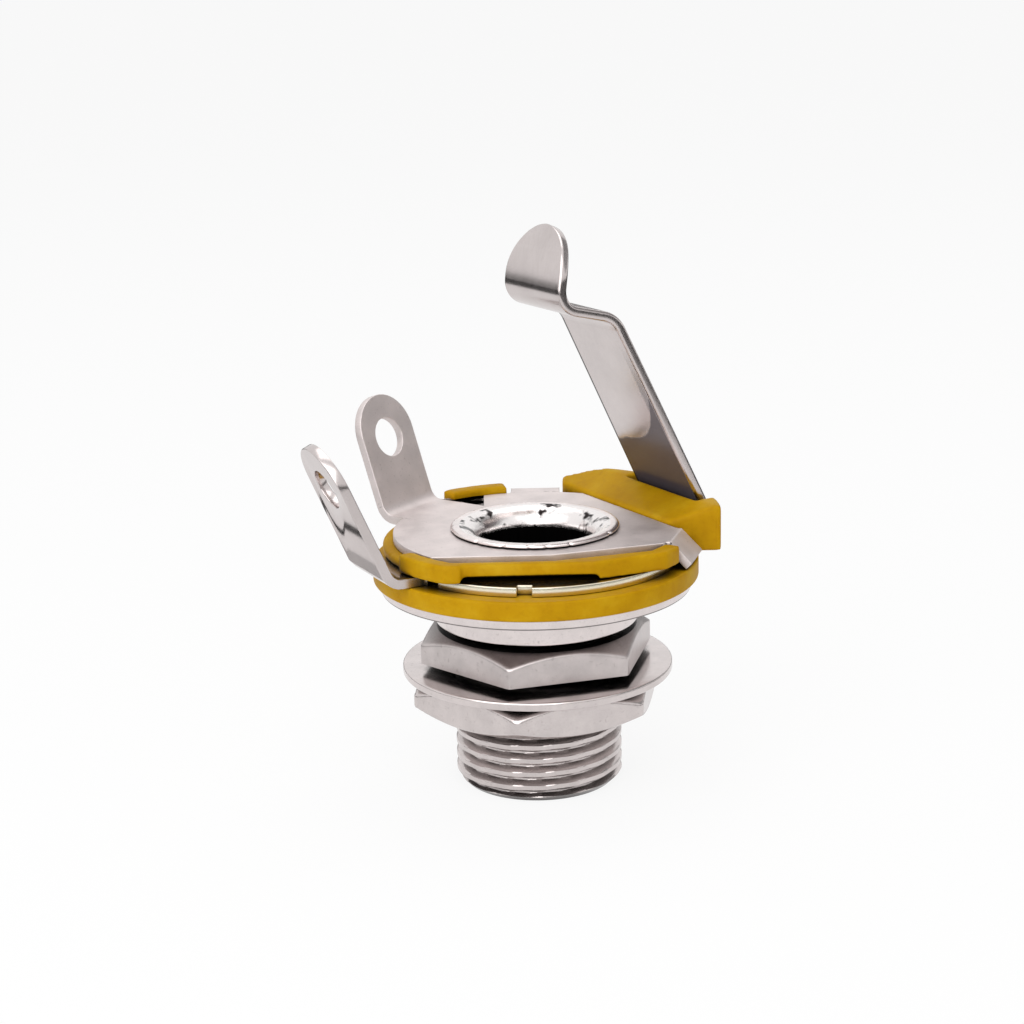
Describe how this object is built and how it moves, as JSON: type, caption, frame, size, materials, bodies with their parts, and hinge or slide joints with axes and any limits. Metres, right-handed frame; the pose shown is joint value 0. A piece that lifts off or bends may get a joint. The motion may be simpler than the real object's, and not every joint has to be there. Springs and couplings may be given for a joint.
{
  "type": "quarter inch phone jack",
  "caption": "Open-frame panel jack for a quarter inch phone plug: threaded bushing with hex nuts and washer, amber insulators, solder lugs and a leaf spring for the plug's tip.",
  "frame": {"origin": "centre of the bushing's mouth, on the bore axis at the threaded end face", "axes": "+Z along the bore from the mouth to the terminals, +X from the bore axis to the tip spring"},
  "size_m": [0.0238, 0.0203, 0.0318],
  "materials": {
    "bushing_plate": "bright nickel plate on brass",
    "contact_plate": "satin nickel plate on spring brass",
    "nut_plate": "dull nickel plate on steel",
    "washer_plate": "bright nickel plate on steel",
    "insulator": "satin amber moulding"
  },
  "bodies": {
    "jack": {"bushing": "bushing_plate", "lower_insulator": "insulator", "tip_terminal": "contact_plate", "upper_insulator": "insulator", "ground_terminal": "contact_plate"},
    "spring": {"tip_spring": "contact_plate"},
    "back_nut": {"back_nut": "nut_plate"},
    "washer": {"washer": "washer_plate"},
    "front_nut": {"front_nut": "nut_plate"}
  },
  "joints": [
    {"name": "spring_flex", "type": "hinge", "parent": "jack", "child": "spring", "pos_m": [0.01007, 0, 0.01477], "axis": [0, 1, 0], "range_deg": [0, 13], "stiffness_Nm_per_rad": 0.27},
    {"name": "back_nut_turn", "type": "hinge", "parent": "jack", "child": "back_nut", "pos_m": [0, 0, 0.0083], "axis": [0, 0, 1], "range_deg": [-180, 180]},
    {"name": "washer_slide", "type": "slide", "parent": "jack", "child": "washer", "axis": [0, 0, 1], "range_m": [-0.00388, 0.00035]},
    {"name": "front_nut_turn", "type": "hinge", "parent": "washer", "child": "front_nut", "pos_m": [0, 0, 0.0055], "axis": [0, 0, 1], "range_deg": [-1764, 162]}
  ],
  "couplings": [
    {"joint": "front_nut_turn", "follows": "washer_slide", "rad_per_m": 7915.8}
  ]
}
